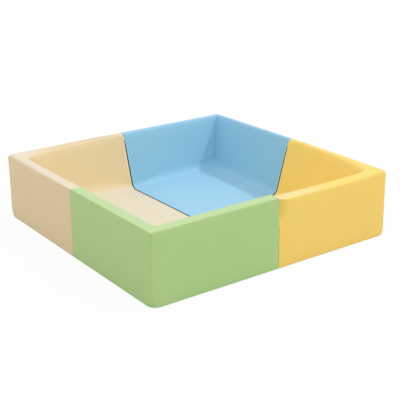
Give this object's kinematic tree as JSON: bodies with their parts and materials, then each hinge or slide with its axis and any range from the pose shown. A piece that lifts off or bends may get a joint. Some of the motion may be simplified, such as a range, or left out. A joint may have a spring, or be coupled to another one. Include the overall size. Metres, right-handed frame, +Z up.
{
  "type": "foam playpen",
  "caption": "Square foam playpen: corner modules of sloping padded walls and floor in plain leathercloth covers, joined by hook-and-loop strips.",
  "frame": {"origin": "on the ground, in the middle of the pen, where the four modules meet", "axes": "+Z up; X and Y along the pen's sides; the green module is at -X -Y, yellow at +X -Y, blue at +X +Y and beige at -X +Y"},
  "size_m": [1.608, 1.608, 0.393],
  "materials": {
    "green_leathercloth": "satin",
    "yellow_leathercloth": "satin",
    "blue_leathercloth": "satin",
    "beige_leathercloth": "satin",
    "foam": "matte",
    "non_slip_cloth": "matte",
    "loop_tape": "matte",
    "hook_tape": "matte",
    "zip_tape": "matte",
    "zip_metal": "satin"
  },
  "bodies": {
    "green_module": {"green_cover": "green_leathercloth", "green_left_wall_foam": "foam", "green_front_wall_foam": "foam", "green_floor_foam": "foam", "green_base_panel": "non_slip_cloth", "green_wall_loop_strip": "loop_tape", "green_wall_hook_strip": "hook_tape", "green_floor_loop_strip": "loop_tape", "green_floor_hook_strip": "hook_tape", "green_outer_zip_tape": "zip_tape", "green_inner_zip_tape": "zip_tape"},
    "green_zip_slider": {"green_zip_slider": "zip_metal"},
    "green_zip_pull": {"green_zip_pull": "zip_metal"},
    "yellow_module": {"yellow_cover": "yellow_leathercloth", "yellow_front_wall_foam": "foam", "yellow_right_wall_foam": "foam", "yellow_floor_foam": "foam", "yellow_base_panel": "non_slip_cloth", "yellow_wall_loop_strip": "loop_tape", "yellow_wall_hook_strip": "hook_tape", "yellow_floor_loop_strip": "loop_tape", "yellow_floor_hook_strip": "hook_tape", "yellow_outer_zip_tape": "zip_tape", "yellow_inner_zip_tape": "zip_tape"},
    "yellow_zip_slider": {"yellow_zip_slider": "zip_metal"},
    "yellow_zip_pull": {"yellow_zip_pull": "zip_metal"},
    "blue_module": {"blue_cover": "blue_leathercloth", "blue_right_wall_foam": "foam", "blue_back_wall_foam": "foam", "blue_floor_foam": "foam", "blue_base_panel": "non_slip_cloth", "blue_wall_loop_strip": "loop_tape", "blue_wall_hook_strip": "hook_tape", "blue_floor_loop_strip": "loop_tape", "blue_floor_hook_strip": "hook_tape", "blue_outer_zip_tape": "zip_tape", "blue_inner_zip_tape": "zip_tape"},
    "blue_zip_slider": {"blue_zip_slider": "zip_metal"},
    "blue_zip_pull": {"blue_zip_pull": "zip_metal"},
    "beige_module": {"beige_cover": "beige_leathercloth", "beige_back_wall_foam": "foam", "beige_left_wall_foam": "foam", "beige_floor_foam": "foam", "beige_base_panel": "non_slip_cloth", "beige_wall_loop_strip": "loop_tape", "beige_wall_hook_strip": "hook_tape", "beige_floor_loop_strip": "loop_tape", "beige_floor_hook_strip": "hook_tape", "beige_outer_zip_tape": "zip_tape", "beige_inner_zip_tape": "zip_tape"},
    "beige_zip_slider": {"beige_zip_slider": "zip_metal"},
    "beige_zip_pull": {"beige_zip_pull": "zip_metal"}
  },
  "joints": [
    {"name": "yellow_pull_apart", "type": "slide", "parent": "green_module", "child": "yellow_module", "axis": [1, 0, 0], "range_m": [0, 0.3]},
    {"name": "beige_pull_apart", "type": "slide", "parent": "green_module", "child": "beige_module", "axis": [0, 1, 0], "range_m": [0, 0.3]},
    {"name": "blue_pull_apart", "type": "slide", "parent": "green_module", "child": "blue_module", "axis": [0.7071, 0.7071, 0], "range_m": [0, 0.42]},
    {"name": "green_zip_slide", "type": "slide", "parent": "green_module", "child": "green_zip_slider", "axis": [-1, 0, 0], "range_m": [0, 0.48]},
    {"name": "green_pull_hinge", "type": "hinge", "parent": "green_zip_slider", "child": "green_zip_pull", "pos_m": [-0.05835, -0.30564, 0.0011], "axis": [0, -1, 0], "range_deg": [0, 140]},
    {"name": "yellow_zip_slide", "type": "slide", "parent": "yellow_module", "child": "yellow_zip_slider", "axis": [0, -1, 0], "range_m": [0, 0.48]},
    {"name": "yellow_pull_hinge", "type": "hinge", "parent": "yellow_zip_slider", "child": "yellow_zip_pull", "pos_m": [0.30564, -0.05835, 0.0011], "axis": [1, 0, 0], "range_deg": [0, 140]},
    {"name": "blue_zip_slide", "type": "slide", "parent": "blue_module", "child": "blue_zip_slider", "axis": [1, 0, 0], "range_m": [0, 0.48]},
    {"name": "blue_pull_hinge", "type": "hinge", "parent": "blue_zip_slider", "child": "blue_zip_pull", "pos_m": [0.05835, 0.30564, 0.0011], "axis": [0, 1, 0], "range_deg": [0, 140]},
    {"name": "beige_zip_slide", "type": "slide", "parent": "beige_module", "child": "beige_zip_slider", "axis": [0, 1, 0], "range_m": [0, 0.48]},
    {"name": "beige_pull_hinge", "type": "hinge", "parent": "beige_zip_slider", "child": "beige_zip_pull", "pos_m": [-0.30564, 0.05835, 0.0011], "axis": [-1, 0, 0], "range_deg": [0, 140]}
  ]
}
